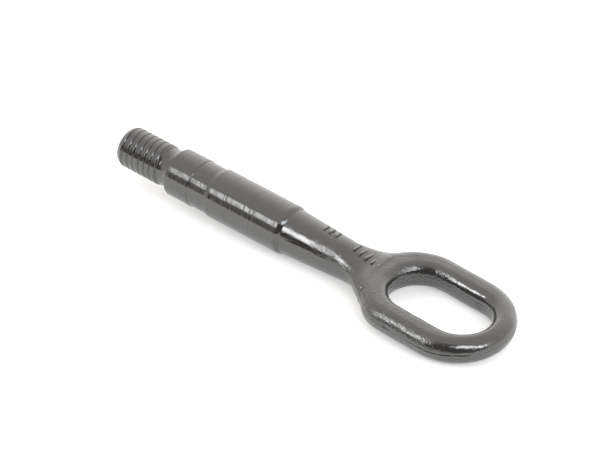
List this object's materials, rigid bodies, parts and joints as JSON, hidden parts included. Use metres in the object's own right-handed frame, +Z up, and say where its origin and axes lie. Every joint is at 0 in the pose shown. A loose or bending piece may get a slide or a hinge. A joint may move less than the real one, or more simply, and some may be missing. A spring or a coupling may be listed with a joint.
{
  "type": "tow eye",
  "caption": "Screw-in tow eye: a threaded end, stepped collars and a plain barrel run into a forged shank with a flat oval eye for a hook or strap.",
  "frame": {"origin": "centre of the part's box at floor height, with the part lying at rest", "axes": "+X along the part from the thread's tip to the eye, dipping 2.57 degrees towards the eye; +Y across the eye; +Z up"},
  "size_m": [0.2006, 0.0516, 0.0241],
  "materials": {
    "painted_steel": "glossy black-grey paint over turned and forged steel"
  },
  "bodies": {
    "root": {"tow_eye": "painted_steel"}
  },
  "joints": []
}
